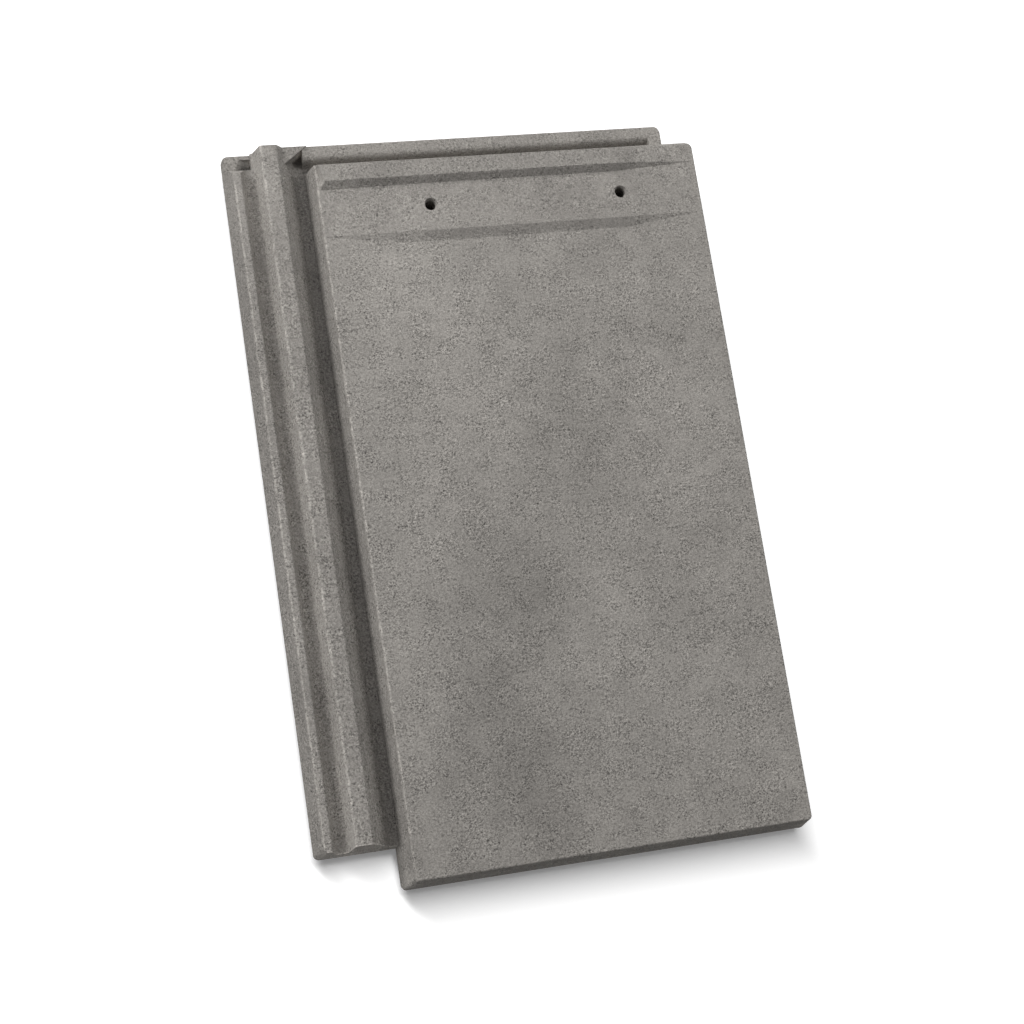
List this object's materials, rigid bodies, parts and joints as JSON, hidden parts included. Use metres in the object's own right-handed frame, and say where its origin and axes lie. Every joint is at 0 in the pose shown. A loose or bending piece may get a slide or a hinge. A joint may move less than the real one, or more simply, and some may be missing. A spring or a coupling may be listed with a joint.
{
  "type": "verge tile",
  "caption": "Flat interlocking roof tile for the right-hand verge: side lock on the left, plain right edge, head lock shelf, nail band with nail holes.",
  "frame": {"origin": "under the middle of the outline, level with the feet of the nibs", "axes": "+X across the tile from the side lock to the verge edge, +Y up the slope to the head, +Z out of the weather face"},
  "size_m": [0.2786, 0.42, 0.0452],
  "materials": {
    "concrete": "matt, fine sandy grain"
  },
  "bodies": {
    "root": {"verge_tile": "concrete"}
  },
  "joints": []
}
